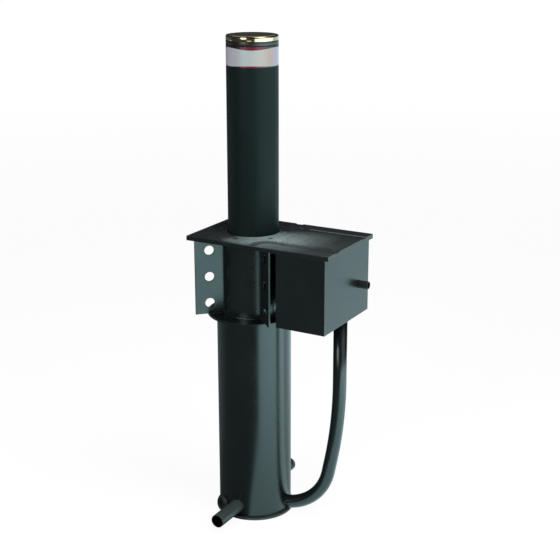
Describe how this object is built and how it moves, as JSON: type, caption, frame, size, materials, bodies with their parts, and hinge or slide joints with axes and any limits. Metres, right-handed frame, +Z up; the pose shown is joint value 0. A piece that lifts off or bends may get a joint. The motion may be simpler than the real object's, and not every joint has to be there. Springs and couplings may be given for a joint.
{
  "type": "retractable bollard",
  "caption": "Round steel post that sinks into a buried casing by a hydraulic ram, with ground plate, side box, anchor fins, conduit and drains.",
  "frame": {"origin": "on the post's axis, on the underside of the base disc", "axes": "+Z up along the post, +X towards the side box, -Y towards the front drain"},
  "size_m": [0.677, 0.632, 2.045],
  "materials": {
    "satin_paint": "satin dark grey-green paint",
    "post_paint": "matt green-black paint",
    "polished_steel": "polished",
    "dark_ring": "dark, satin",
    "reflective_film": "retro-reflective film, pale with dark red edges",
    "guide_polymer": "machined polymer",
    "seal_rubber": "matt",
    "plain_steel": "machined",
    "dark_steel": "black, satin",
    "dark_plastic": "moulded, matt",
    "cast_alloy": "milled",
    "lever_paint": "red, gloss"
  },
  "bodies": {
    "ground_unit": {"base_disc": "satin_paint", "casing_tube": "satin_paint", "flange_ring": "satin_paint", "guide_tube": "satin_paint", "fin_front_left": "satin_paint", "fin_front_right": "satin_paint", "fin_rear_right": "satin_paint", "fin_rear_left": "satin_paint", "top_plate": "satin_paint", "access_cover": "satin_paint", "cover_ledge": "satin_paint", "cover_screws": "dark_steel", "collar_ring": "satin_paint", "collar_screws": "dark_steel", "wiper_seal": "seal_rubber", "upper_guide": "guide_polymer", "seat_ring": "plain_steel", "guide_rail": "plain_steel", "buffer_posts": "plain_steel", "buffer_pads": "seal_rubber", "side_box": "satin_paint", "cable_entry": "dark_plastic", "conduit": "satin_paint", "front_drain": "satin_paint", "rear_drain": "satin_paint", "outlet_boss": "satin_paint", "outlet_plug": "dark_plastic", "ram_barrel": "dark_steel", "ram_gland": "plain_steel", "ram_foot": "plain_steel", "foot_pin": "plain_steel", "unit_bracket": "plain_steel", "valve_block": "cast_alloy", "pump_motor": "dark_steel", "gear_pump": "cast_alloy", "oil_tank": "dark_plastic", "filler_cap": "dark_plastic", "solenoid_valve": "dark_plastic", "terminal_box": "dark_plastic", "motor_lead": "seal_rubber", "solenoid_lead": "seal_rubber", "hydraulic_hose": "seal_rubber", "hose_fittings": "plain_steel"},
    "post": {"post_tube": "post_paint", "head_cap": "polished_steel", "head_ring": "dark_ring", "reflective_band": "reflective_film", "lower_guide": "guide_polymer", "rod_bridge": "plain_steel", "rod_nut": "plain_steel", "ram_rod": "polished_steel", "ram_piston": "plain_steel"},
    "lever": {"release_lever": "lever_paint"}
  },
  "joints": [
    {"name": "post_slide", "type": "slide", "parent": "ground_unit", "child": "post", "axis": [0, 0, 1], "range_m": [-0.8, 0]},
    {"name": "release_turn", "type": "hinge", "parent": "ground_unit", "child": "lever", "pos_m": [0.335, 0.01255, 1.085], "axis": [0, 0, 1], "range_deg": [-90, 0]}
  ]
}
